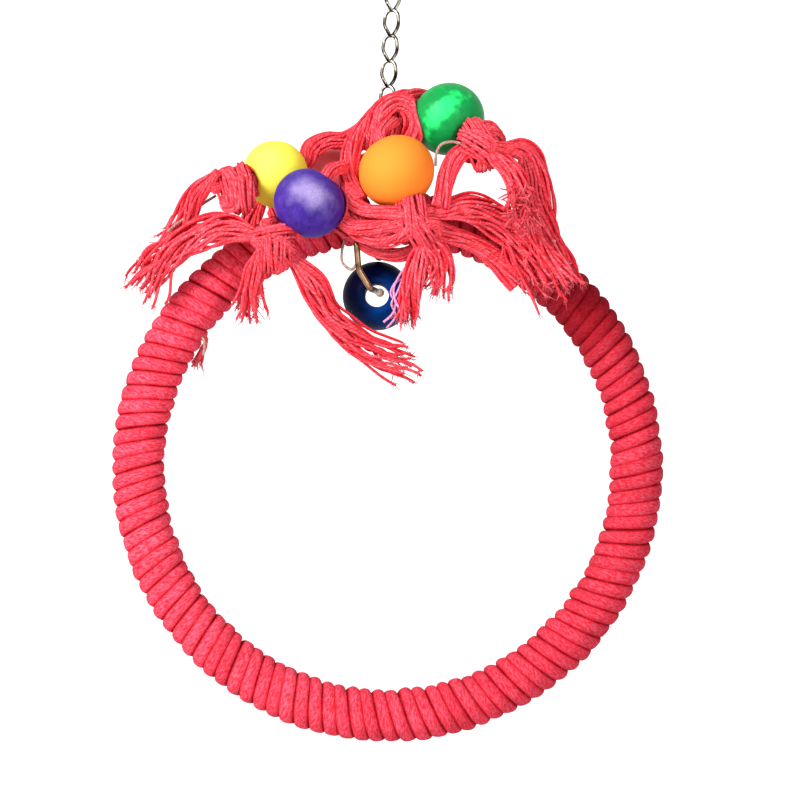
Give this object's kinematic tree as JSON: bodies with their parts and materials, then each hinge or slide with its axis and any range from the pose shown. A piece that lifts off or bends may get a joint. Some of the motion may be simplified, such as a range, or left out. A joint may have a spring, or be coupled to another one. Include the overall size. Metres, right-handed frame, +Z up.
{
  "type": "bird swing",
  "caption": "Hanging cage swing: a rope-wound ring on a steel chain, with knotted ties that carry wooden beads and a wire hook with one more bead inside the ring.",
  "frame": {"origin": "inside top of the quick link, where the bar that carries the swing bears", "axes": "+Z up, -Y towards the front of the ring, +X to the right seen from the front"},
  "size_m": [0.2, 0.0701, 0.3134],
  "materials": {
    "zinc_steel": "zinc plated, satin",
    "chain_steel": "nickel plated, slightly warm",
    "hanger_wire": "bright wire",
    "hook_wire": "warm nickel wire",
    "hoop_core": "plain rattan",
    "wrap_rope": "dyed cotton, fuzzy",
    "tie_rope": "dyed cotton rope",
    "yarn": "frayed two-ply cotton yarn",
    "yellow_bead": "satin paint",
    "purple_bead": "glossy stain",
    "orange_bead": "satin paint",
    "green_bead": "glossy pearl stain",
    "red_bead": "satin paint",
    "blue_bead": "glossy stain"
  },
  "bodies": {
    "quick_link": {"quick_link": "zinc_steel"},
    "quick_sleeve": {"quick_sleeve": "zinc_steel"},
    "link_1": {"chain_link_1": "chain_steel"},
    "link_2": {"chain_link_2": "chain_steel"},
    "link_3": {"chain_link_3": "chain_steel"},
    "link_4": {"chain_link_4": "chain_steel"},
    "link_5": {"chain_link_5": "chain_steel"},
    "ring": {"bound_link_1": "chain_steel", "bound_link_2": "chain_steel", "bound_link_3": "chain_steel", "hanger": "hanger_wire", "hoop": "hoop_core", "winding": "wrap_rope", "winding_tail": "wrap_rope", "tie_yellow_green": "tie_rope", "tie_purple_orange": "tie_rope", "tie_red": "tie_rope", "tassel_right_upper": "yarn", "tassel_right_lower": "yarn", "tassel_middle_right": "yarn", "tassel_middle_low": "yarn", "tassel_left_long": "yarn", "tassel_left_low": "yarn", "tassel_left_short": "yarn", "tassel_outer_left": "yarn", "tassel_back": "yarn"},
    "bead_yellow": {"bead_yellow": "yellow_bead"},
    "bead_purple": {"bead_purple": "purple_bead"},
    "bead_orange": {"bead_orange": "orange_bead"},
    "bead_green": {"bead_green": "green_bead"},
    "bead_red": {"bead_red": "red_bead"},
    "hook": {"bead_hook": "hook_wire"},
    "bead_blue": {"bead_blue": "blue_bead"}
  },
  "joints": [
    {"name": "sleeve_screw", "type": "slide", "parent": "quick_link", "child": "quick_sleeve", "axis": [0, 0, -1], "range_m": [0, 0.007]},
    {"name": "link_1_side_swing", "type": "hinge", "parent": "quick_link", "child": "link_1", "pos_m": [0, 0, -0.0295], "axis": [0, 1, 0], "range_deg": [-30, 30]},
    {"name": "link_2_front_swing", "type": "hinge", "parent": "link_1", "child": "link_2", "pos_m": [0, 0, -0.0364], "axis": [0.9063, -0.4226, 0], "range_deg": [-30, 30]},
    {"name": "link_3_side_swing", "type": "hinge", "parent": "link_2", "child": "link_3", "pos_m": [0, 0, -0.04705], "axis": [0.4226, 0.9063, 0], "range_deg": [-30, 30]},
    {"name": "link_4_front_swing", "type": "hinge", "parent": "link_3", "child": "link_4", "pos_m": [0, 0, -0.0548], "axis": [0.9063, -0.4226, 0], "range_deg": [-30, 30]},
    {"name": "link_5_side_swing", "type": "hinge", "parent": "link_4", "child": "link_5", "pos_m": [0, 0, -0.06545], "axis": [0.4226, 0.9063, 0], "range_deg": [-30, 30]},
    {"name": "ring_front_swing", "type": "hinge", "parent": "link_5", "child": "ring", "pos_m": [0, 0, -0.0732], "axis": [0.9063, -0.4226, 0], "range_deg": [-30, 30]},
    {"name": "yellow_spin", "type": "hinge", "parent": "ring", "child": "bead_yellow", "pos_m": [-0.039, -0.003, -0.10685], "axis": [0.7585, 0.5788, 0.2994], "continuous": true},
    {"name": "purple_spin", "type": "hinge", "parent": "ring", "child": "bead_purple", "pos_m": [-0.0255, -0.0224, -0.11825], "axis": [0.4983, 0, 0.867], "continuous": true},
    {"name": "orange_spin", "type": "hinge", "parent": "ring", "child": "bead_orange", "pos_m": [0.0048, -0.0196, -0.10515], "axis": [0.4811, -0.1604, -0.8619], "continuous": true},
    {"name": "green_spin", "type": "hinge", "parent": "ring", "child": "bead_green", "pos_m": [0.0224, -0.006, -0.08405], "axis": [0.5187, -0.6384, -0.5686], "continuous": true},
    {"name": "red_spin", "type": "hinge", "parent": "ring", "child": "bead_red", "pos_m": [-0.021, 0.0184, -0.10585], "axis": [-0.799, 0.4494, -0.3995], "continuous": true},
    {"name": "hook_swing", "type": "hinge", "parent": "ring", "child": "hook", "pos_m": [0, 0, -0.12896], "axis": [-0.454, -0.891, 0], "range_deg": [-30, 30]},
    {"name": "blue_spin", "type": "hinge", "parent": "hook", "child": "bead_blue", "pos_m": [0, 0, -0.14885], "axis": [0, 1, 0], "continuous": true}
  ]
}
